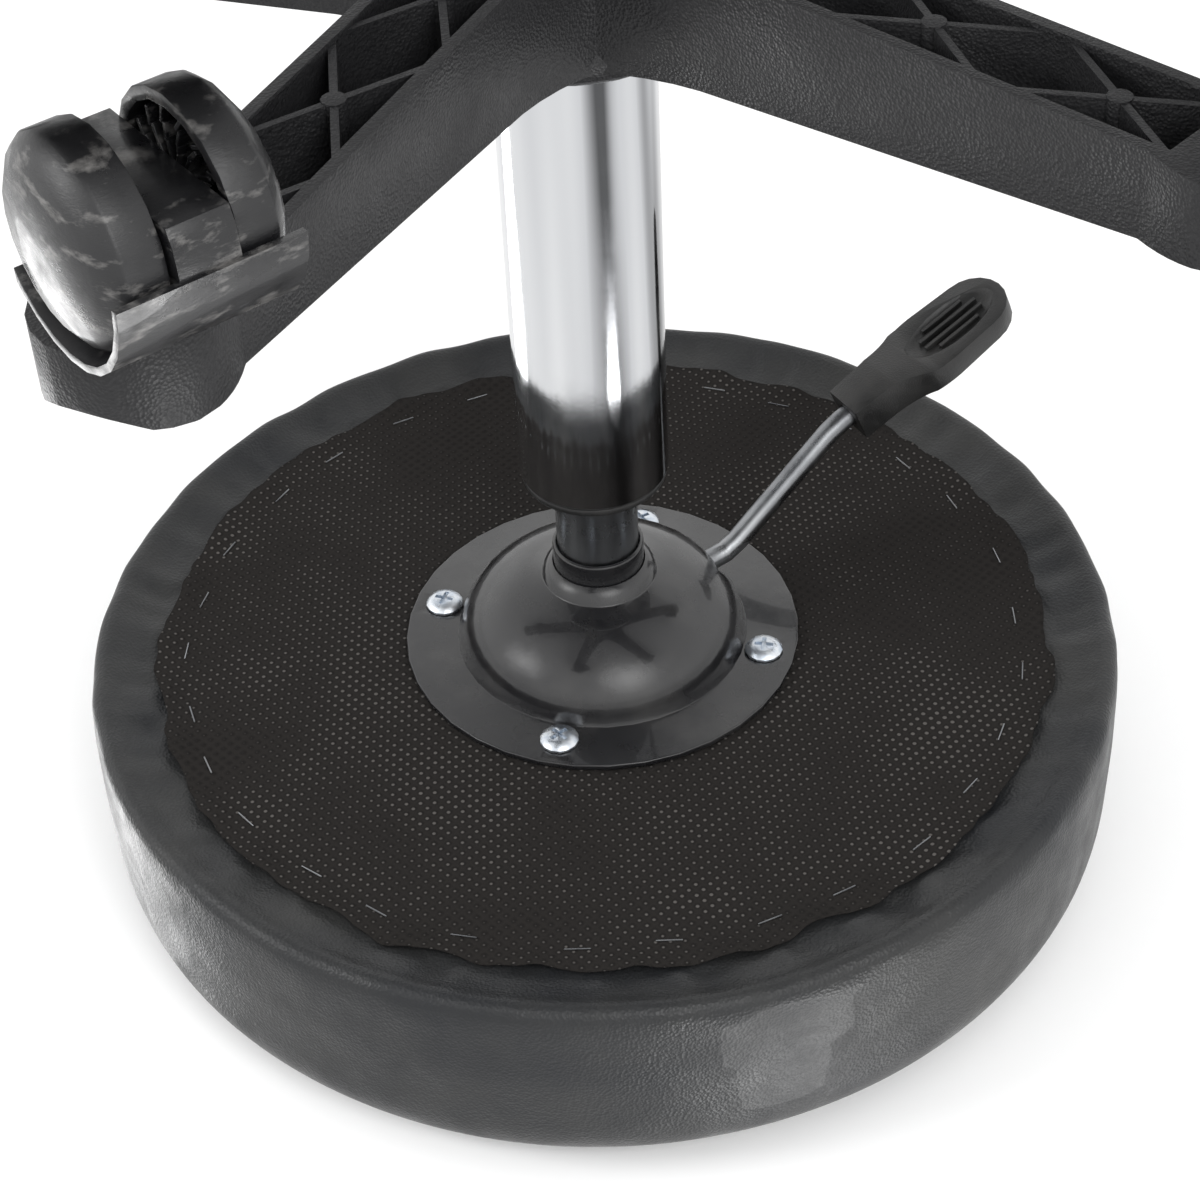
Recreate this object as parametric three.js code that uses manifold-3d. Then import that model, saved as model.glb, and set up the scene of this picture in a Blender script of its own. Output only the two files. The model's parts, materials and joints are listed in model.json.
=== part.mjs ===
// An adjustable swivel stool: a round padded seat on a gas lift, in a five-armed moulded base on twin-wheel castors.
// Millimetres, +Z up. The origin is on the swivel axis, at the floor under the castors. The lift is at its lowest.
import * as THREE from "three";
import { mergeVertices } from "three/addons/utils/BufferGeometryUtils.js";
import Module from "manifold-3d";

const wasm = await Module();
wasm.setup();

// Driving dimensions
const GAP = 0.3; // clearance between pieces that touch
const BOARD_BOTTOM = 351.2; // underside of the seat board above the floor
const BOARD_THICKNESS = 12;
const BOARD_RADIUS = 171.5;
const SEAT_RADIUS = 180.5;
const SEAT_TOP = 425;
const FLANGE_RADIUS = 69.3;
const FLANGE_TOP = 348.8;
const SHEET = 2.4; // thickness of the pressed mounting plate
const DOME_RADIUS = 49.9;
const SCREW_CIRCLE_RADIUS = 58.2;
const SCREW_ANGLE = 16.3; // degrees, first screw
const COLLAR = { outer: 15.7, inner: 14.35, bottom: 305.6, top: 328 };
const CYLINDER_RADIUS = 14;
const CYLINDER = { bottom: 105, top: 326 };
const TUBE_RADIUS = 25;
const TUBE = { bottom: 48, top: 272.6, wall: 1.6 };
const HUB_TOP = 108;
const HUB_BOTTOM = 52;
const HUB_RADIUS = 33;
const RIM_HEIGHT = 58.5; // lower rim of the base arms
const ARM_HALF_WIDTH = 17.6;
const ARM_WALL = 3.6;
const ARM_COUNT = 5;
const FIRST_ARM = 9.3; // degrees
const STEM_CIRCLE_RADIUS = 226;
const BOSS_RADIUS = 22; // rounded end of an arm, over its castor
const ROD_RADIUS = 4;
const PIN_RADIUS = 3;
const LEVER_RADIUS = 4;
const LEVER_ANGLE = 150; // degrees, heading of the lever
const WHEEL = { radius: 25, width: 17, bore: 3.35 };
const CASTOR_HEADINGS = [172, 175, 180, 189.3, 234.3]; // degrees, the way each castor trails
const CASTOR = { trail: 19.6, web: 15, axle: 3, guardInner: 26, guardOuter: 28, halfWidth: 23 };

const FINE = 36; // segments round a large piece
const PLAIN = 14; // segments round a small piece
const radians = THREE.MathUtils.degToRad;

// ---- solids ----

function toSolid(geometry) {
  const loose = geometry.index ? geometry.toNonIndexed() : geometry;
  const bare = new THREE.BufferGeometry().setAttribute("position", loose.getAttribute("position"));
  const merged = mergeVertices(bare, 1e-3);
  const build = (flip) => {
    const triVerts = new Uint32Array(merged.index.array);
    if (flip) {
      for (let i = 0; i < triVerts.length; i += 3) {
        [triVerts[i + 1], triVerts[i + 2]] = [triVerts[i + 2], triVerts[i + 1]];
      }
    }
    const mesh = new wasm.Mesh({ numProp: 3, vertProperties: merged.attributes.position.array, triVerts });
    return new wasm.Manifold(mesh);
  };
  const solid = build(false);
  return solid.volume() < 0 ? build(true) : solid;
}

function toGeometry(solid) {
  const mesh = solid.getMesh();
  const geometry = new THREE.BufferGeometry();
  geometry.setAttribute("position", new THREE.BufferAttribute(new Float32Array(mesh.vertProperties), 3));
  geometry.setIndex(new THREE.BufferAttribute(new Uint32Array(mesh.triVerts), 1));
  const flat = geometry.toNonIndexed();
  flat.computeVertexNormals();
  return flat;
}

const join = (solids) => solids.reduce((sum, solid) => sum.add(solid));
const cut = (solid, cutters) => cutters.reduce((rest, cutter) => rest.subtract(cutter), solid);

// A profile of [radius, height] points turned about +Z. Closed rings repeat their first point.
function turned(profile, segments = FINE, closed = false) {
  const points = profile.map(([r, z]) => new THREE.Vector2(r, z));
  if (closed) points.push(points[0].clone());
  return toSolid(new THREE.LatheGeometry(points, segments).rotateX(Math.PI / 2));
}

const disc = (radius, low, high, segments = FINE) =>
  turned([[0, low], [radius, low], [radius, high], [0, high]], segments);

const ring = (inner, outer, low, high, segments = FINE) =>
  turned([[inner, low], [outer, low], [outer, high], [inner, high]], segments, true);

function box(sizeX, sizeY, sizeZ, x, y, z) {
  return toSolid(new THREE.BoxGeometry(sizeX, sizeY, sizeZ).translate(x, y, z));
}

// An outline in the XY plane raised from low to high.
function raised(shape, low, high, curveSegments = 10) {
  const geometry = new THREE.ExtrudeGeometry(shape, { depth: high - low, bevelEnabled: false, curveSegments });
  return toSolid(geometry.translate(0, 0, low));
}

const turnZ = (solid, degrees) => solid.rotate([0, 0, degrees]);
const polar = (radius, degrees, z) =>
  new THREE.Vector3(radius * Math.cos(radians(degrees)), radius * Math.sin(radians(degrees)), z);

const stool = new THREE.Group();
function addPart(name, solid, material, place = stool) {
  const mesh = new THREE.Mesh(toGeometry(solid), material);
  mesh.name = name;
  place.add(mesh);
  return mesh;
}

const finish = (color, roughness, metalness) => new THREE.MeshStandardMaterial({ color, roughness, metalness });
const NYLON = finish(0x3a3a39, 0.6, 0);
const CHROME = finish(0xdfe0e2, 0.06, 1);
const BLACK_PAINT = finish(0x1f1f20, 0.3, 0.2);
const ZINC = finish(0xc9d2d8, 0.25, 1);
const STEEL = finish(0x7a7e82, 0.3, 1);
const BLACK_PLASTIC = finish(0x2b2b2b, 0.4, 0);
const VINYL = finish(0x3c3e40, 0.5, 0);
const DUST_CLOTH = finish(0x35322f, 0.95, 0);
const PLYWOOD = finish(0xb08d5e, 0.8, 0);
const FOAM = finish(0xd8cfa8, 0.95, 0);

// ---- base ----

// Height of an arm's upper face at a distance from the axis.
const armTop = (r) => 98 - (r - 53) * 0.0945;

function armOuter() {
  const boss = BOSS_RADIUS;
  const end = STEM_CIRCLE_RADIUS + boss;
  const side = new THREE.Shape();
  side.moveTo(0, RIM_HEIGHT);
  side.lineTo(end + 2, RIM_HEIGHT);
  side.lineTo(end + 2, armTop(end) - 12);
  side.quadraticCurveTo(end, armTop(end) + 1, end - 14, armTop(end - 14));
  side.lineTo(44, armTop(44));
  side.quadraticCurveTo(30, armTop(30) + 1, 0, armTop(0));
  const upright = new THREE.ExtrudeGeometry(side, { depth: 80, bevelEnabled: false, curveSegments: 3 });
  const wall = toSolid(upright.rotateX(Math.PI / 2).translate(0, 40, 0));
  const plan = new THREE.Shape();
  plan.moveTo(0, -30);
  plan.lineTo(22, -30);
  plan.quadraticCurveTo(44, -ARM_HALF_WIDTH - 1, 66, -ARM_HALF_WIDTH);
  plan.lineTo(STEM_CIRCLE_RADIUS - 18, -ARM_HALF_WIDTH);
  plan.quadraticCurveTo(STEM_CIRCLE_RADIUS - 8, -boss, STEM_CIRCLE_RADIUS, -boss);
  plan.absarc(STEM_CIRCLE_RADIUS, 0, boss, -Math.PI / 2, Math.PI / 2);
  plan.quadraticCurveTo(STEM_CIRCLE_RADIUS - 8, boss, STEM_CIRCLE_RADIUS - 18, ARM_HALF_WIDTH);
  plan.lineTo(66, ARM_HALF_WIDTH);
  plan.quadraticCurveTo(44, ARM_HALF_WIDTH + 1, 22, 30);
  plan.lineTo(0, 30);
  return wall.intersect(raised(plan, 0, 130, 5));
}

function armCavity() {
  const first = HUB_RADIUS + 5;
  const last = STEM_CIRCLE_RADIUS - 14;
  const inner = ARM_HALF_WIDTH - ARM_WALL;
  const side = new THREE.Shape();
  side.moveTo(first, RIM_HEIGHT - 10);
  side.lineTo(last, RIM_HEIGHT - 10);
  side.lineTo(last, armTop(last) - 4);
  side.lineTo(first, armTop(first) - 4);
  const upright = new THREE.ExtrudeGeometry(side, { depth: 2 * inner, bevelEnabled: false });
  return toSolid(upright.rotateX(Math.PI / 2).translate(0, inner, 0));
}

// Crossed stiffening ribs inside an arm, with a small round boss where they cross.
function armRibs() {
  const pitch = 57;
  const crossings = [74, 131, 188];
  const reach = Math.hypot(pitch, 2 * ARM_HALF_WIDTH);
  const slope = Math.atan2(2 * ARM_HALF_WIDTH - 6, pitch - 8);
  return crossings.flatMap((r) => [
    ...[slope, -slope].map((angle) =>
      toSolid(new THREE.BoxGeometry(reach, 2.2, 34).rotateZ(angle).translate(r, 0, RIM_HEIGHT + 18.5)),
    ),
    disc(3.4, RIM_HEIGHT + 1, RIM_HEIGHT + 34, 12).translate([r, 0, 0]),
  ]);
}

function baseArm() {
  const outer = armOuter();
  const ribs = join(armRibs()).intersect(outer);
  const stemHole = disc(8, RIM_HEIGHT - 5, RIM_HEIGHT + 16, PLAIN).translate([STEM_CIRCLE_RADIUS, 0, 0]);
  return cut(outer, [armCavity()]).add(ribs).subtract(stemHole);
}

function baseStar() {
  const arm = baseArm();
  const hub = turned([
    [0, HUB_BOTTOM], [30, HUB_BOTTOM], [HUB_RADIUS, RIM_HEIGHT], [HUB_RADIUS + 3, RIM_HEIGHT + 2], [38, 88],
    [44, 97], [42, 102.5], [36, 107], [32, HUB_TOP], [0, HUB_TOP],
  ]);
  const bore = turned([
    [0, HUB_BOTTOM - 1], [23.6 + GAP, HUB_BOTTOM - 1], [TUBE_RADIUS + GAP, HUB_TOP + 1], [0, HUB_TOP + 1],
  ]);
  const arms = Array.from({ length: ARM_COUNT }, (_, i) => turnZ(arm, FIRST_ARM + (i * 360) / ARM_COUNT));
  return cut(join([hub, ...arms]), [bore]);
}

addPart("base_star", baseStar(), NYLON);

// ---- gas lift ----

const innerTube = TUBE_RADIUS - TUBE.wall;
addPart("column_tube", turned([
  [7, TUBE.bottom], [23.3, TUBE.bottom], [23.6, HUB_BOTTOM], [TUBE_RADIUS, HUB_TOP + 1],
  [TUBE_RADIUS, TUBE.top - 0.8], [TUBE_RADIUS - 0.6, TUBE.top], [innerTube, TUBE.top],
  [innerTube, HUB_TOP], [21.6, TUBE.bottom + 3], [7, TUBE.bottom + 3],
], FINE, true), CHROME);

addPart("guide_bushing", turned([
  [CYLINDER_RADIUS + GAP, 188], [innerTube - GAP, 188], [innerTube - GAP, TUBE.top + GAP],
  [TUBE_RADIUS - 0.5, TUBE.top + GAP], [TUBE_RADIUS - 0.7, TUBE.top + 2.8], [TUBE_RADIUS - 2, TUBE.top + 3.9],
  [CYLINDER_RADIUS + GAP, TUBE.top + 3.9],
], FINE, true), BLACK_PLASTIC);

addPart("gas_cylinder", turned([
  [ROD_RADIUS + 0.4, CYLINDER.bottom], [CYLINDER_RADIUS - 1, CYLINDER.bottom], [CYLINDER_RADIUS, CYLINDER.bottom + 1],
  [CYLINDER_RADIUS, CYLINDER.top - 1], [CYLINDER_RADIUS - 1, CYLINDER.top], [PIN_RADIUS + 0.4, CYLINDER.top],
  [PIN_RADIUS + 0.4, 300], [12, 300], [12, CYLINDER.bottom + 14], [ROD_RADIUS + 0.4, CYLINDER.bottom + 14],
], FINE, true), STEEL);

addPart("release_pin", turned([
  [0, 301], [PIN_RADIUS, 301], [PIN_RADIUS, 332.4], [PIN_RADIUS - 1, 333.2], [0, 333.2],
], PLAIN), ZINC);

addPart("piston_rod", turned([
  [0, 36], [ROD_RADIUS - 0.6, 36], [ROD_RADIUS, 37], [ROD_RADIUS, 41], [ROD_RADIUS - 1, 41],
  [ROD_RADIUS - 1, 42.6], [ROD_RADIUS, 42.6], [ROD_RADIUS, 278], [0, 278],
], PLAIN), STEEL);
addPart("piston_head", turned([
  [0, 278.3], [11.5, 278.3], [11.5, 288], [10.5, 289], [0, 289],
], PLAIN), BLACK_PLASTIC);

addPart("retaining_clip", ring(ROD_RADIUS - 1 + GAP, 8.5, 41.3, 42.3, PLAIN), STEEL);
addPart("end_washer", ring(ROD_RADIUS + GAP, 12, 44.9, TUBE.bottom - GAP, PLAIN), STEEL);
addPart("thrust_bearing", ring(ROD_RADIUS + 1.5, 16, TUBE.bottom + 3.3, TUBE.bottom + 9, PLAIN), STEEL);
addPart("bump_washer", ring(ROD_RADIUS + GAP, 15, TUBE.bottom + 9.3, TUBE.bottom + 15, PLAIN), BLACK_PLASTIC);

// ---- seat mount ----

const screwPlaces = [0, 1, 2, 3].map((i) => polar(SCREW_CIRCLE_RADIUS, SCREW_ANGLE + 90 * i, 0).toArray());
const flangeBottom = FLANGE_TOP - SHEET;

// Outer face of the pressed dome, from its foot on the flange to the collar.
function domeFace(shrink) {
  const foot = flangeBottom - shrink * 0.2;
  const face = Array.from({ length: 9 }, (_, i) => {
    const angle = radians(8 + i * 7.6);
    return [DOME_RADIUS * Math.cos(angle) ** 0.92 + 0.4 - shrink, foot - 29 * Math.sin(angle) + shrink * 0.9];
  });
  return face.filter(([r]) => r > COLLAR.outer + 4);
}

function mountingPlate() {
  const outside = [
    [FLANGE_RADIUS, flangeBottom + 0.4], [FLANGE_RADIUS - 0.4, flangeBottom], [DOME_RADIUS + 1, flangeBottom],
    ...domeFace(0), [COLLAR.outer + 3.2, 316.2], [COLLAR.outer + GAP, 313.6],
  ];
  const inside = [
    [COLLAR.outer + GAP, 316.6], ...domeFace(SHEET).reverse(), [DOME_RADIUS - SHEET, FLANGE_TOP],
    [FLANGE_RADIUS - 0.4, FLANGE_TOP], [FLANGE_RADIUS, FLANGE_TOP - 0.4],
  ];
  const slot = turnZ(box(24, 26, 12.6, 48, 0, 337.4), LEVER_ANGLE);
  const holes = screwPlaces.map(([x, y]) => disc(3.4, 340, 352, 20).translate([x, y, 0]));
  return cut(turned([...outside, ...inside], FINE, true), [slot, ...holes]);
}

addPart("mounting_plate", mountingPlate(), BLACK_PAINT);
addPart("taper_collar", turned([
  [COLLAR.inner, COLLAR.bottom], [COLLAR.outer - 0.5, COLLAR.bottom], [COLLAR.outer, COLLAR.bottom + 0.5],
  [COLLAR.outer, COLLAR.top], [COLLAR.inner, COLLAR.top],
], FINE, true), BLACK_PAINT);

// Two lugs under the dome that carry the lever's fulcrum pin.
const FULCRUM = { radius: 34, height: 337.5 };
for (const [name, side] of [["fulcrum_lug_left", 1], ["fulcrum_lug_right", -1]]) {
  const lug = box(9, 2.4, 15.4, FULCRUM.radius, side * 7, FULCRUM.height + 3.3);
  const eye = toSolid(new THREE.CylinderGeometry(2.3, 2.3, 6, 20).translate(FULCRUM.radius, side * 7, FULCRUM.height));
  addPart(name, turnZ(cut(lug, [eye]), LEVER_ANGLE), BLACK_PAINT);
}
const fulcrumPin = toSolid(new THREE.CylinderGeometry(2, 2, 19, 20).translate(FULCRUM.radius, 0, FULCRUM.height));
addPart("fulcrum_pin", turnZ(fulcrumPin, LEVER_ANGLE), ZINC);

function crossRecess(z) {
  const blades = [0, 90].map((angle) => turnZ(box(6.6, 1.5, 3, 0, 0, z), angle));
  return join(blades);
}

screwPlaces.forEach(([x, y], i) => {
  const headTop = flangeBottom - GAP;
  const screw = turned([
    [0, headTop - 2.9], [3.6, headTop - 2.7], [5.6, headTop - 1.9], [6.6, headTop - 0.8], [6.7, headTop],
    [3, headTop], [3, 368], [2.4, 369], [0, 369],
  ], PLAIN);
  addPart(`plate_screw_${i + 1}`, cut(screw, [turnZ(crossRecess(headTop - 2.6), 20 + 40 * i)]).translate([x, y, 0]), ZINC);
  const nutFlange = BOARD_BOTTOM + BOARD_THICKNESS + GAP;
  const nut = turned([
    [3.3, nutFlange - 9], [4.3, nutFlange - 9], [4.3, nutFlange], [8.5, nutFlange], [8.5, nutFlange + 1.4],
    [3.3, nutFlange + 1.4],
  ], 24, true);
  addPart(`tee_nut_${i + 1}`, nut.translate([x, y, 0]), ZINC);
});

// ---- seat ----

const boardTop = BOARD_BOTTOM + BOARD_THICKNESS;
const boardHoles = screwPlaces.map(([x, y]) => disc(4.7, 340, 380, 20).translate([x, y, 0]));
addPart("seat_board", cut(disc(BOARD_RADIUS, BOARD_BOTTOM, boardTop), boardHoles), PLYWOOD);

const foamBottom = boardTop + 6.5;
addPart("seat_foam", turned([
  [0, foamBottom], [BOARD_RADIUS + 0.6, foamBottom], [BOARD_RADIUS + 0.6, 346.4], [BOARD_RADIUS + 4.5, 345.6],
  [SEAT_RADIUS - 2.4, 350], [SEAT_RADIUS - 1.8, 372], [SEAT_RADIUS - 2.4, 396], [SEAT_RADIUS - 7, 409],
  [SEAT_RADIUS - 18, 417.4], [150, 420.4], [110, 421.8], [0, 422.6],
]), FOAM);

addPart("seat_cover", turned([
  [156, 350.1], [164, 348.2], [172, 344.4], [176, 342.8], [179.4, 343.6], [SEAT_RADIUS - 0.4, 350],
  [SEAT_RADIUS, 372], [SEAT_RADIUS - 0.8, 397], [SEAT_RADIUS - 5.4, 411], [SEAT_RADIUS - 17, 420],
  [150, 423], [110, 424.4], [60, SEAT_TOP], [0, SEAT_TOP],
  [0, 422.95], [110, 422.2], [150, 420.8], [SEAT_RADIUS - 18, 417.8], [SEAT_RADIUS - 6.6, 409.3],
  [SEAT_RADIUS - 2, 396.2], [SEAT_RADIUS - 1.4, 372], [SEAT_RADIUS - 2, 350], [176.4, 345], [172, 345.9],
  [165, 349.8], [156, 350.8],
], FINE, true), VINYL);

const clothHoles = screwPlaces.map(([x, y]) => disc(3.4, 340, 352, 20).translate([x, y, 0]));
addPart("dust_cloth", cut(disc(155, 349.1, 349.7), clothHoles), DUST_CLOTH);

// ---- lever ----

// The rod runs level under the dome, dips outside it, then eases into the grip.
const firstBend = polar(53, LEVER_ANGLE, FULCRUM.height);
const secondBend = polar(99, LEVER_ANGLE, 301);
const GRIP_SLOPE = 22; // degrees below level
const heading = polar(Math.cos(radians(GRIP_SLOPE)), LEVER_ANGLE, -Math.sin(radians(GRIP_SLOPE)));
const mouth = secondBend.clone().addScaledVector(heading, 7);

function leverRod() {
  const corners = [polar(-4, LEVER_ANGLE, FULCRUM.height), firstBend, secondBend, mouth.clone().addScaledVector(heading, 15)];
  const path = new THREE.CurvePath();
  let start = corners[0];
  for (const i of [1, 2]) {
    const corner = corners[i];
    const before = corner.clone().add(corners[i - 1].clone().sub(corner).setLength(6));
    const after = corner.clone().add(corners[i + 1].clone().sub(corner).setLength(6));
    path.add(new THREE.LineCurve3(start, before));
    path.add(new THREE.QuadraticBezierCurve3(before, corner, after));
    start = after;
  }
  path.add(new THREE.LineCurve3(start, corners[3]));
  const section = new THREE.Shape().absarc(0, 0, LEVER_RADIUS, 0, 2 * Math.PI);
  const rod = toSolid(new THREE.ExtrudeGeometry(section, { steps: 22, extrudePath: path, curveSegments: 6 }));
  const eye = toSolid(new THREE.CylinderGeometry(2.35, 2.35, 30, 16).translate(FULCRUM.radius, 0, FULCRUM.height));
  return cut(rod, [turnZ(eye, LEVER_ANGLE)]);
}
addPart("lever_rod", leverRod(), STEEL);

// The moulded grip, built along +X from its mouth, then laid along the lever.
function leverHandle() {
  const plan = new THREE.Shape();
  plan.moveTo(0, -8);
  plan.lineTo(14, -8.6);
  plan.quadraticCurveTo(24, -9.5, 30, -13);
  plan.quadraticCurveTo(34, -14, 40, -14);
  plan.lineTo(59, -13);
  plan.absarc(59, 0, 13, -Math.PI / 2, Math.PI / 2);
  plan.lineTo(40, 14);
  plan.quadraticCurveTo(34, 14, 30, 13);
  plan.quadraticCurveTo(24, 9.5, 14, 8.6);
  plan.lineTo(0, 8);
  const side = new THREE.Shape();
  side.moveTo(0, -7);
  side.lineTo(17, -7.5);
  side.lineTo(34, -4);
  side.lineTo(80, -4);
  side.lineTo(80, 4);
  side.lineTo(34, 5.5);
  side.lineTo(0, 7);
  const upright = new THREE.ExtrudeGeometry(side, { depth: 60, bevelEnabled: false });
  const body = toSolid(upright.rotateX(Math.PI / 2).translate(0, 30, 0)).intersect(raised(plan, -20, 20, 5));
  const socket = toSolid(new THREE.CylinderGeometry(4.4, 4.4, 40, PLAIN).rotateZ(Math.PI / 2).translate(-4, 0, 0));
  const scoop = toSolid(new THREE.SphereGeometry(1, 20, 10).scale(20, 9, 3).translate(49, 0, -4.6));
  return cut(body, [socket, scoop]);
}
const handle = addPart("lever_handle", leverHandle(), BLACK_PLASTIC);
handle.position.copy(mouth);
handle.rotation.set(0, radians(GRIP_SLOPE), radians(LEVER_ANGLE), "ZYX");

// ---- castors ----

// One castor in its own frame: stem on the Z axis, wheels trailing along +X, axle along Y.
const axleAt = { x: CASTOR.trail, z: WHEEL.radius };

function lyingDisc(radius, halfWidth, segments = PLAIN) {
  const cylinder = new THREE.CylinderGeometry(radius, radius, 2 * halfWidth, segments);
  return toSolid(cylinder.translate(axleAt.x, 0, axleAt.z));
}

function castorHood() {
  const guard = cut(lyingDisc(CASTOR.guardOuter, CASTOR.halfWidth, 24), [lyingDisc(CASTOR.guardInner, 40, 24)]);
  const opening = box(90, 90, 60, axleAt.x, 0, axleAt.z - 30 + 1);
  const leading = box(40, 90, 60, axleAt.x - 41, 0, axleAt.z + 18);
  const web = lyingDisc(CASTOR.guardInner + 1, CASTOR.web / 2, 24);
  const heel = box(60, 30, 40, axleAt.x, 0, axleAt.z - 31);
  const boss = disc(9.5, 32, 56.4, PLAIN);
  const neck = boss.intersect(box(40, CASTOR.web, 80, 0, 0, 40));
  const solid = join([cut(guard, [opening, leading]), cut(web, [heel]), neck, disc(9.5, 48.5, 56.4, PLAIN)]);
  const axleHole = lyingDisc(CASTOR.axle + GAP, 40, 16);
  const stemHole = disc(5.8, 34, 70, PLAIN);
  return cut(solid, [axleHole, stemHole]);
}

function castorStem() {
  return turned([
    [0, 35], [5.5, 35], [5.5, 56.7], [8, 56.7], [8, 58.1], [5.5, 58.1], [5.5, 71], [4.5, 72.5], [0, 72.5],
  ], PLAIN);
}

// A wheel's section, from its bore to the tread, with the cavity on the side of the web.
function castorWheel() {
  const { radius, width, bore } = WHEEL;
  return turned([
    [bore, 0.4], [7, 0.4], [7.5, 9], [20.8, 9.5], [21.6, 0.4], [radius, 0.4], [radius, 10],
    [radius - 2, 12.4], [19, 15], [9, width], [0, width], [0, 13], [bore, 13],
  ], 20, true);
}

const hood = castorHood();
const stem = castorStem();
const axle = lyingDisc(CASTOR.axle, CASTOR.web / 2 + 12, 16);
const sleeve = ring(5.8, 7.7, RIM_HEIGHT + 0.2, RIM_HEIGHT + 15, PLAIN);
const wheelAtRest = castorWheel();
const wheelInset = CASTOR.web / 2 + 0.5;
const wheelSides = [
  ["left", toGeometry(wheelAtRest.rotate([-90, 0, 0]).translate([axleAt.x, wheelInset, axleAt.z]))],
  ["right", toGeometry(wheelAtRest.rotate([90, 0, 0]).translate([axleAt.x, -wheelInset, axleAt.z]))],
];

for (let i = 0; i < ARM_COUNT; i += 1) {
  const armAngle = FIRST_ARM + (i * 360) / ARM_COUNT;
  const castor = new THREE.Group();
  castor.position.copy(polar(STEM_CIRCLE_RADIUS, armAngle, 0));
  castor.rotation.z = radians(CASTOR_HEADINGS[i]);
  addPart(`castor_sleeve_${i + 1}`, sleeve, ZINC, castor);
  addPart(`castor_stem_${i + 1}`, stem, ZINC, castor);
  addPart(`castor_hood_${i + 1}`, hood, BLACK_PLASTIC, castor);
  addPart(`castor_axle_${i + 1}`, axle, STEEL, castor);
  for (const [side, geometry] of wheelSides) {
    const wheel = new THREE.Mesh(geometry, BLACK_PLASTIC);
    wheel.name = `castor_wheel_${side}_${i + 1}`;
    castor.add(wheel);
  }
  stool.add(castor);
}

export default stool;
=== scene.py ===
import json
import math

import bmesh
import bpy
import numpy as np
from mathutils import Matrix, Vector


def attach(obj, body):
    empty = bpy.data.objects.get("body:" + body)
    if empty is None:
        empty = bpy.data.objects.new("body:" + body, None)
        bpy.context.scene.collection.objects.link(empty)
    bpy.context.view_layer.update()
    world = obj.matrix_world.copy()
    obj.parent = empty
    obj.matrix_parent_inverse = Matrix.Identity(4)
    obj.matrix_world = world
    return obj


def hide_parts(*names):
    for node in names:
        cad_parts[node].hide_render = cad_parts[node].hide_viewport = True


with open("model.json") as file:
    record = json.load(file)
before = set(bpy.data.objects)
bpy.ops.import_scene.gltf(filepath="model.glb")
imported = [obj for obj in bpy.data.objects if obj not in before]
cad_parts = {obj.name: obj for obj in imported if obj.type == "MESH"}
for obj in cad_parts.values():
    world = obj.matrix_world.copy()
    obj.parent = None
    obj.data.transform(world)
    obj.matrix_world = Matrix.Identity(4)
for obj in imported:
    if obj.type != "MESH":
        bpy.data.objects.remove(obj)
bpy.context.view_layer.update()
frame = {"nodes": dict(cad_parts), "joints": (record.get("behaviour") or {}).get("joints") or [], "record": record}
rng = np.random.default_rng(7)
scene = bpy.context.scene

# Metres and degrees, in the frame's own coordinates, unless a name ends in _MM.
SMOOTH_ANGLE = 34  # edges sharper than this stay sharp
BEVEL_ANGLE = 38
WELD_DISTANCE = 0.00002
COVER_TURNS = 540  # points round the seat
COVER_ROWS = 130  # points from the crown to the hidden end of the fold
COVER_CROWN = 0.4252
COVER_THICKNESS = 0.0007
CLOTH_TURNS = 480
CLOTH_HEIGHT_MM = 349.35
CLOTH_THICKNESS = 0.0003
STAPLES = {"count": 30, "radius": 0.1465, "height": 0.34895, "size": (0.0085, 0.0005, 0.0005)}
LEVER_ANGLE = 150
GRIP_SLOPE = 22
GRIP_BEND = {"radius": 0.099, "height": 0.301, "to_mouth": 0.007}
VANES = {"count": 16, "depth": 0.0128, "size": (0.0048, 0.0011, 0.0062), "sweep": 0.00264}
SEAT_FLOOR_HEIGHT = 0.4262  # just clear of the cushion's crown
SEAT_FLOOR_RADIUS = 0.9
FLOOR_HALF = 4


# ---- materials ----

def socket_set(node, values):
    for name, value in values.items():
        if name in node.inputs:
            node.inputs[name].default_value = value


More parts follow.
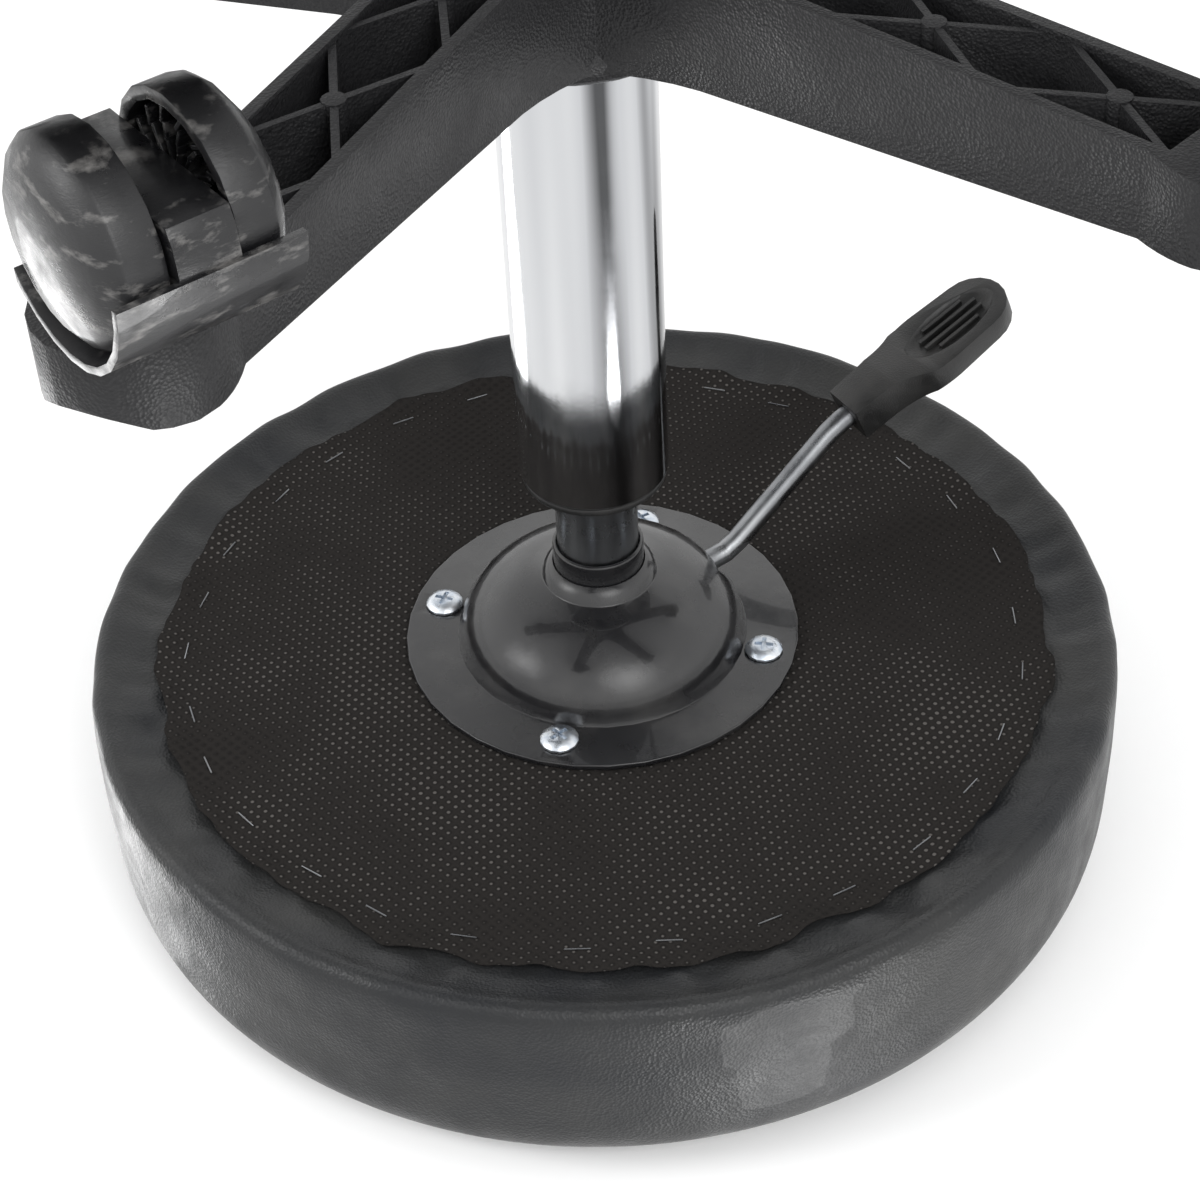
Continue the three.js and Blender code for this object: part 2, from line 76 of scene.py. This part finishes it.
class Surface:
    """A procedural material: colour mottled by a texture, varied roughness and one or more bumps."""

    def __init__(self, name, color, rough, metal=0.0, coat=0.0):
        self.mat = bpy.data.materials.new(name)
        self.mat.use_nodes = True
        tree = self.mat.node_tree
        self.nodes, self.links = tree.nodes, tree.links
        self.shader = next(n for n in self.nodes if n.type == "BSDF_PRINCIPLED")
        socket_set(self.shader, {"Base Color": (*color, 1), "Roughness": rough})
        socket_set(self.shader, {"Metallic": metal, "Coat Weight": coat})
        self.coords = self.nodes.new("ShaderNodeTexCoord").outputs["Object"]
        self.height = None

    def noise(self, scale, detail=4.0, stretch=(1, 1, 1)):
        place = self.nodes.new("ShaderNodeMapping")
        place.inputs["Scale"].default_value = stretch
        self.links.new(self.coords, place.inputs["Vector"])
        tex = self.nodes.new("ShaderNodeTexNoise")
        socket_set(tex, {"Scale": scale, "Detail": detail, "Roughness": 0.6})
        self.links.new(place.outputs[0], tex.inputs["Vector"])
        return tex.outputs[0]

    def cells(self, scale, feature="F1"):
        tex = self.nodes.new("ShaderNodeTexVoronoi")
        tex.feature = feature
        tex.inputs["Scale"].default_value = scale
        self.links.new(self.coords, tex.inputs["Vector"])
        return tex.outputs["Distance"]

    def bands(self, scale, angle):
        place = self.nodes.new("ShaderNodeMapping")
        place.inputs["Rotation"].default_value = (0, 0, math.radians(angle))
        self.links.new(self.coords, place.inputs["Vector"])
        tex = self.nodes.new("ShaderNodeTexWave")
        tex.inputs["Scale"].default_value = scale
        self.links.new(place.outputs[0], tex.inputs["Vector"])
        return tex.outputs["Fac"]

    def math(self, operation, a, b):
        node = self.nodes.new("ShaderNodeMath")
        node.operation = operation
        for i, value in enumerate((a, b)):
            if isinstance(value, (int, float)):
                node.inputs[i].default_value = value
            else:
                self.links.new(value, node.inputs[i])
        return node.outputs[0]

    def ramp(self, value, stops):
        node = self.nodes.new("ShaderNodeValToRGB")
        elements = node.color_ramp.elements
        while len(elements) < len(stops):
            elements.new(0.5)
        for element, (at, color) in zip(elements, stops):
            element.position = at
            element.color = (*color, 1) if len(color) == 3 else color
        self.links.new(value, node.inputs[0])
        return node.outputs[0]

    def color(self, value, stops):
        self.links.new(self.ramp(value, stops), self.shader.inputs["Base Color"])
        return self

    def roughness(self, value, low, high):
        spread = self.nodes.new("ShaderNodeMapRange")
        socket_set(spread, {"From Min": 0.3, "From Max": 0.7, "To Min": low, "To Max": high})
        self.links.new(value, spread.inputs["Value"])
        self.links.new(spread.outputs[0], self.shader.inputs["Roughness"])
        return self

    def bump(self, value, distance, strength=0.6):
        node = self.nodes.new("ShaderNodeBump")
        socket_set(node, {"Strength": strength, "Distance": distance})
        self.links.new(value, node.inputs["Height"])
        if self.height is not None:
            self.links.new(self.height, node.inputs["Normal"])
        self.height = node.outputs[0]
        self.links.new(self.height, self.shader.inputs["Normal"])
        return self


def vinyl():
    s = Surface("vinyl", (0.022, 0.023, 0.025), 0.42, coat=0.05)
    s.color(s.noise(14, 6), [(0.3, (0.012, 0.013, 0.015)), (0.7, (0.030, 0.030, 0.029))])
    s.roughness(s.noise(60, 5), 0.34, 0.55)
    socket_set(s.shader, {"Specular IOR Level": 0.28})
    return s.bump(s.cells(950), 0.0004, 0.5).bump(s.noise(220, 5), 0.0006, 0.25).mat


def dust_cloth():
    s = Surface("dust_cloth", (0.045, 0.038, 0.033), 0.95)
    dots = s.math("MULTIPLY", s.bands(95, 45), s.bands(95, -45))
    patches = s.math("MULTIPLY", dots, s.noise(16, 5))
    cloth, shadow, dot = (0.017, 0.0155, 0.0145), (0.012, 0.011, 0.0105), (0.085, 0.08, 0.075)
    s.color(patches, [(0.0, cloth), (0.36, shadow), (0.52, dot)])
    socket_set(s.shader, {"Specular IOR Level": 0.08})
    return s.bump(dots, 0.0005, 0.8).bump(s.noise(900, 6), 0.0003, 0.5).mat


def nylon():
    s = Surface("nylon", (0.022, 0.022, 0.023), 0.5)
    speck, dark, light = (0.10, 0.10, 0.10), (0.010, 0.010, 0.011), (0.017, 0.017, 0.018)
    s.color(s.cells(700), [(0.0, speck), (0.05, dark), (1.0, light)])
    s.roughness(s.noise(35, 5), 0.36, 0.58)
    socket_set(s.shader, {"Specular IOR Level": 0.32})
    return s.bump(s.cells(1100), 0.0004, 0.55).bump(s.noise(300, 5), 0.0004, 0.3).mat


def castor_plastic():
    s = Surface("castor_plastic", (0.014, 0.014, 0.015), 0.25, coat=0.2)
    s.color(s.noise(95, 9, (1, 1, 2.5)), [(0.54, (0.008, 0.008, 0.009)), (0.70, (0.15, 0.145, 0.14))])
    s.roughness(s.noise(70, 8), 0.16, 0.6)
    return s.bump(s.noise(600, 6, (1, 1, 4)), 0.0002, 0.4).mat


def black_plastic():
    s = Surface("black_plastic", (0.018, 0.018, 0.018), 0.42)
    s.color(s.noise(40, 7), [(0.45, (0.009, 0.009, 0.009)), (0.8, (0.030, 0.029, 0.028))])
    s.roughness(s.noise(80, 6), 0.3, 0.55)
    return s.bump(s.cells(1500), 0.0002, 0.4).mat


def black_paint():
    s = Surface("black_paint", (0.008, 0.008, 0.009), 0.2, 0.0, coat=0.5)
    s.color(s.noise(30, 8), [(0.5, (0.008, 0.008, 0.009)), (0.85, (0.035, 0.034, 0.033))])
    s.roughness(s.noise(45, 7), 0.12, 0.4)
    return s.bump(s.noise(260, 4), 0.0003, 0.22).mat


def chrome():
    s = Surface("chrome", (0.62, 0.63, 0.645), 0.05, 1.0)
    # painted reflection: the darkest and brightest colour stops make vertical streaks that stand in for
    # surroundings mirrored in the chrome; only the middle stop is the metal's own tint
    painted_dark_reflection, plain, painted_bright_reflection = (0.10, 0.102, 0.106), (0.62, 0.63, 0.65), (0.84, 0.85, 0.86)
    s.color(s.noise(45, 2, (1, 1, 0.03)), [(0.36, painted_dark_reflection), (0.47, plain), (0.7, painted_bright_reflection)])
    s.roughness(s.noise(28, 8), 0.02, 0.14)
    return s.bump(s.noise(500, 3), 0.00005, 0.1).mat


def steel():
    s = Surface("steel", (0.25, 0.26, 0.27), 0.3, 1.0)
    s.color(s.noise(60, 6, (1, 1, 0.15)), [(0.3, (0.17, 0.175, 0.185)), (0.7, (0.34, 0.35, 0.36))])
    s.roughness(s.noise(50, 7), 0.18, 0.38)
    return s.bump(s.noise(900, 3, (1, 1, 0.05)), 0.0001, 0.25).mat


def zinc():
    s = Surface("zinc", (0.62, 0.67, 0.72), 0.24, 1.0)
    s.color(s.noise(260, 6), [(0.3, (0.46, 0.52, 0.60)), (0.7, (0.78, 0.80, 0.82))])
    s.roughness(s.noise(150, 6), 0.14, 0.42)
    return s.bump(s.noise(700, 4), 0.0002, 0.3).mat


def plywood():
    s = Surface("plywood", (0.45, 0.28, 0.13), 0.7)
    s.color(s.noise(8, 9, (1, 14, 14)), [(0.35, (0.30, 0.17, 0.07)), (0.65, (0.52, 0.35, 0.18))])
    return s.bump(s.noise(80, 8, (1, 10, 10)), 0.0005, 0.4).mat


def foam():
    s = Surface("foam", (0.72, 0.63, 0.40), 0.95)
    s.color(s.noise(50, 8), [(0.3, (0.60, 0.50, 0.29)), (0.7, (0.78, 0.70, 0.48))])
    return s.bump(s.cells(700), 0.0012, 0.9).mat


FINISHES = {f.__name__: f() for f in (
    vinyl, dust_cloth, nylon, castor_plastic, black_plastic, black_paint, chrome, steel, zinc, plywood, foam)}


# ---- CAD pieces ----

SOFT_EDGES = {"nylon": 0.0009, "castor_plastic": 0.0006, "black_plastic": 0.0008, "black_paint": 0.0004,
              "zinc": 0.0003, "steel": 0.0002, "plywood": 0.0006}
slots = {p["node"]: p["material_slot"] for p in frame["record"]["subparts"]}
for name, node in frame["nodes"].items():
    finish = slots[name]
    node.data.materials.clear()
    node.data.materials.append(FINISHES[finish])
    if "custom_normal" in node.data.attributes:
        node.data.attributes.remove(node.data.attributes["custom_normal"])
    node.data.polygons.foreach_set("use_smooth", [True] * len(node.data.polygons))
    weld = node.modifiers.new("weld", "WELD")
    weld.merge_threshold = WELD_DISTANCE
    if finish in SOFT_EDGES:
        bevel = node.modifiers.new("edges", "BEVEL")
        bevel.width = SOFT_EDGES[finish]
        bevel.segments = 2
        bevel.limit_method = "ANGLE"
        bevel.angle_limit = math.radians(BEVEL_ANGLE)
    split = node.modifiers.new("split", "EDGE_SPLIT")
    split.split_angle = math.radians(SMOOTH_ANGLE)


def piece_of(mesh, finish, body):
    mesh.materials.append(FINISHES[finish])
    piece = bpy.data.objects.new(mesh.name, mesh)
    scene.collection.objects.link(piece)
    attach(piece, body)
    return piece


def skin_of(name, vertices, faces, finish, thickness, offset, replaced):
    """A smooth surface with a thickness, riding the seat in place of a CAD node."""
    mesh = bpy.data.meshes.new(name)
    mesh.from_pydata([tuple(v) for v in vertices], [], faces)
    mesh.polygons.foreach_set("use_smooth", [True] * len(mesh.polygons))
    piece = piece_of(mesh, finish, "seat")
    skin = piece.modifiers.new("thickness", "SOLIDIFY")
    skin.thickness = thickness
    skin.offset = offset
    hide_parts(replaced)


def ripple(angle, lobes, seed):
    """A smooth, uneven wave round the seat, between -1 and 1."""
    local = np.random.default_rng(seed)
    total = np.zeros_like(angle)
    for k in lobes:
        total += np.sin(k * angle + local.uniform(0, 2 * math.pi)) * local.uniform(0.6, 1.0)
    return total / len(lobes)


# ---- the cover: pulled over the foam, folded under the rim and pleated ----

def share(value, low, high):
    """How far value lies from low to high, kept between 0 and 1."""
    return max(0.0, min(1.0, (value - low) / (high - low)))


def resampled(profile, count):
    points = np.array(profile, float)
    steps = np.r_[0, np.cumsum(np.hypot(*np.diff(points, axis=0).T))]
    at = np.linspace(0, steps[-1], count)
    return np.stack([np.interp(at, steps, points[:, k]) for k in (0, 1)], axis=1)


def seat_cover():
    rounded = [(155 + 25 * math.sin(t) ** 0.9, 396.5 + 25.5 * math.cos(t) ** 0.95)
               for t in np.linspace(0.12, math.pi / 2, 12)]
    profile = ([(0, 425.2), (60, 425), (110, 424.2), (140, 423)] + rounded
               + [(180.4, 372), (180.0, 352), (179.2, 346.6), (177.6, 344.1), (175.4, 343.3), (173.2, 343.9),
                  (168, 346.9), (162, 349.2), (156.5, 350.3), (148, 350.5)])
    line = resampled(profile, COVER_ROWS)
    angle = np.linspace(0, 2 * math.pi, COVER_TURNS, endpoint=False)
    pleats = ripple(angle, (27, 29, 33, 46), 3)
    tucks = ripple(angle, (58, 71, 85), 5)
    slack = ripple(angle, (5, 9, 14), 8)
    vertices = []
    for r, z in line:
        side = share(z, 346, 376) * share(z, 415, 395) * (r > 150)
        under = float(z < 350.2) * share(r, 178, 166) * share(r, 150, 155)
        rim = math.exp(-((z - 344.5) / 4.0) ** 2) * (r > 165)
        radius = r + 0.35 * slack * side + pleats * rim
        folds = 1.6 * np.abs(pleats) ** 0.7 * np.sign(pleats) + 0.7 * tucks
        height = z - under * folds * 0.8 - 0.9 * slack * rim
        if z > 418:
            height = height + 0.25 * slack * min(1, r / 90)
        vertices.append(np.stack([radius * np.cos(angle), radius * np.sin(angle), height], axis=1))
    grid = np.array(vertices) / 1000
    flat = grid[1:].reshape(-1, 3)
    faces = []
    turns = COVER_TURNS
    for i in range(len(grid) - 2):
        for j in range(turns):
            k = (j + 1) % turns
            faces.append((i * turns + j, (i + 1) * turns + j, (i + 1) * turns + k, i * turns + k))
    crown = len(flat)
    faces += [(crown, j, (j + 1) % turns) for j in range(turns)]
    points = np.vstack([flat, [[0, 0, COVER_CROWN]]])
    skin_of("seat_cover_vinyl", points, faces, "vinyl", COVER_THICKNESS, -1, "seat_cover")


seat_cover()


# ---- the dust cloth, its wavy cut edge and the staples ----

def cloth_height(r, angle):
    """The cloth lies flat inside its staples, and hangs in scallops outside them."""
    scallop = 0.6 + 0.4 * math.sin(31 * angle + math.sin(3 * angle))
    return CLOTH_HEIGHT_MM - 2.6 * max(0.0, (r - 147) / 10) * scallop


def dust_sheet():
    angle = np.linspace(0, 2 * math.pi, CLOTH_TURNS, endpoint=False)
    edge = 156.5 + 3.4 * ripple(angle, (11, 17, 24, 31), 12) + 0.6 * ripple(angle, (67, 90), 13)
    levels = [16, 60, 100, 125, 138, 144, 147, 149.5, 151.5, 153, None]
    rings = []
    for level in levels:
        radius = edge if level is None else np.full_like(angle, level)
        heights = [cloth_height(r, a) for r, a in zip(radius, angle)]
        rings.append(np.stack([radius * np.cos(angle), radius * np.sin(angle), heights], axis=1))
    grid = np.array(rings).reshape(-1, 3) / 1000
    count = len(angle)
    faces = []
    for i in range(len(levels) - 1):
        for j in range(count):
            k = (j + 1) % count
            faces.append((i * count + j, i * count + k, (i + 1) * count + k, (i + 1) * count + j))
    skin_of("dust_cloth_sheet", grid, faces, "dust_cloth", CLOTH_THICKNESS, 0, "dust_cloth")


dust_sheet()


def box_mesh(bm, size, matrix):
    made = bmesh.ops.create_cube(bm, size=1.0)
    bmesh.ops.transform(bm, matrix=matrix @ Matrix.Diagonal((*size, 1)), verts=made["verts"])


def piece_from(bm, name, finish, body):
    mesh = bpy.data.meshes.new(name)
    bm.to_mesh(mesh)
    bm.free()
    soft = piece_of(mesh, finish, body).modifiers.new("edges", "BEVEL")
    soft.width = 0.0002
    soft.segments = 2


bm = bmesh.new()
for i in range(STAPLES["count"]):
    a = 2 * math.pi * i / STAPLES["count"] + rng.uniform(-0.03, 0.03)
    r = STAPLES["radius"] + rng.uniform(-0.0012, 0.0012)
    place = Matrix.Translation((r * math.cos(a), r * math.sin(a), STAPLES["height"]))
    turn = Matrix.Rotation(a + math.pi / 2 + rng.uniform(-0.14, 0.14), 4, "Z")
    box_mesh(bm, STAPLES["size"], place @ turn)
piece_from(bm, "dust_cloth_staples", "steel", "seat")

# ---- ribs in the recess of the lever's grip ----

lever_angle = math.radians(LEVER_ANGLE)
slope = math.radians(GRIP_SLOPE)
out = Vector((math.cos(lever_angle), math.sin(lever_angle), 0))
mouth = out * (GRIP_BEND["radius"] + GRIP_BEND["to_mouth"] * math.cos(slope))
mouth += Vector((0, 0, GRIP_BEND["height"] - GRIP_BEND["to_mouth"] * math.sin(slope)))
along = out * math.cos(slope) - Vector((0, 0, math.sin(slope)))
across = Vector((-math.sin(lever_angle), math.cos(lever_angle), 0))
grip = Matrix.Translation(mouth) @ Matrix((along, across, along.cross(across))).transposed().to_4x4()
bm = bmesh.new()
for y, length in ((-0.0052, 0.018), (-0.0018, 0.026), (0.0018, 0.026), (0.0052, 0.018)):
    box_mesh(bm, (length, 0.0013, 0.0024), grip @ Matrix.Translation((0.049, y, -0.0029)))
piece_from(bm, "lever_handle_ribs", "black_plastic", "lever")


# ---- vanes inside the wheels, each of three straight stretches that lean more toward the rim ----

for joint in frame["joints"]:
    if not joint["name"].startswith("wheel_spin"):
        continue
    side = 1 if "_left_" in joint["name"] else -1
    axis = Vector(joint["axis"]).normalized() * side
    down = Vector((0, 0, -1))
    place = Matrix((down, axis.cross(down), axis)).transposed().to_4x4()
    place = Matrix.Translation(Vector(joint["pos_m"]) + axis * VANES["depth"]) @ place
    bm = bmesh.new()
    for k in range(VANES["count"]):
        turn = place @ Matrix.Rotation(2 * math.pi * k / VANES["count"], 4, "Z")
        for radius, lean in ((0.0098, 12), (0.0140, 26), (0.0180, 42)):
            shift = VANES["sweep"] * (radius / 0.0098 - 1)
            tilt = Matrix.Translation((radius, shift, 0)) @ Matrix.Rotation(math.radians(lean), 4, "Z")
            box_mesh(bm, VANES["size"], turn @ tilt)
    piece_from(bm, joint["child"] + "_vanes", "castor_plastic", joint["child"])


# ---- floors, each seen from one side only ----

def one_sided_floor(name, color):
    mat = bpy.data.materials.new(name)
    mat.use_nodes = True
    nodes, links = mat.node_tree.nodes, mat.node_tree.links
    shader = next(n for n in nodes if n.type == "BSDF_PRINCIPLED")
    socket_set(shader, {"Base Color": (*color, 1), "Roughness": 0.7})
    clear = nodes.new("ShaderNodeBsdfTransparent")
    mix = nodes.new("ShaderNodeMixShader")
    links.new(nodes.new("ShaderNodeNewGeometry").outputs["Backfacing"], mix.inputs[0])
    links.new(shader.outputs[0], mix.inputs[1])
    links.new(clear.outputs[0], mix.inputs[2])
    links.new(mix.outputs[0], next(n for n in nodes if n.type == "OUTPUT_MATERIAL").inputs["Surface"])
    return mat


def flat_stage(name, vertices, mat, body=None):
    mesh = bpy.data.meshes.new(name)
    mesh.from_pydata(vertices, [], [tuple(range(len(vertices)))])
    mesh.materials.append(mat)
    plane = bpy.data.objects.new(name, mesh)
    plane.visible_shadow = False
    scene.collection.objects.link(plane)
    if body:  # close under the cushion, so it must not block the light that bounces there
        plane.visible_diffuse = False
        plane.visible_glossy = False
        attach(plane, body)


floor_finish = one_sided_floor("stage_floor", (0.9, 0.9, 0.9))
corners = [(x * FLOOR_HALF, y * FLOOR_HALF, 0) for x, y in ((-1, -1), (1, -1), (1, 1), (-1, 1))]
flat_stage("floor", corners, floor_finish)
disc_angles = np.linspace(0, -2 * math.pi, 96, endpoint=False)
rim = [(SEAT_FLOOR_RADIUS * math.cos(a), SEAT_FLOOR_RADIUS * math.sin(a), SEAT_FLOOR_HEIGHT)
       for a in disc_angles]
flat_stage("seat_floor", rim, floor_finish, "seat")

# ---- light, world and camera ----

world = bpy.data.worlds.new("world")
world.use_nodes = True
background = next(n for n in world.node_tree.nodes if n.type == "BACKGROUND")
socket_set(background, {"Color": (1.0, 1.0, 1.0, 1), "Strength": 1.0})
scene.world = world


def area_light(name, location, target, size, power):
    data = bpy.data.lights.new(name, "AREA")
    data.shape = "DISK"
    data.size = size
    data.energy = power
    light = bpy.data.objects.new(name, data)
    light.location = location
    light.rotation_euler = (Vector(target) - Vector(location)).to_track_quat("-Z", "Y").to_euler()
    scene.collection.objects.link(light)


area_light("key_below", (-0.5, -1.3, -0.9), (0, 0, 0.3), 0.8, 14)
area_light("side_below", (1.4, -0.4, -0.6), (0, 0, 0.3), 0.6, 10)
area_light("key_above", (-1.0, -1.4, 1.9), (0, 0, 0.2), 0.9, 24)
area_light("fill_above", (1.5, 0.9, 1.6), (0, 0, 0.2), 1.0, 12)

# The camera stands below the stool, rolled over, so that the stool shows resting on its seat.
right = Vector((-0.99874, -0.03338, 0.03756))
up = Vector((-0.05024, 0.66346, -0.74656))
forward = Vector((0, 0.7475, 0.6643)).normalized()
camera_data = bpy.data.cameras.new("camera")
camera_data.lens = 79.18
camera_data.sensor_width = 36
camera_data.clip_start = 0.01
camera = bpy.data.objects.new("camera", camera_data)
camera.matrix_world = (Matrix.Translation((0.0003, -0.6909, -0.28026))
                       @ Matrix((right, up, -forward)).transposed().to_4x4())
scene.collection.objects.link(camera)
scene.camera = camera
scene.view_settings.view_transform = "Standard"
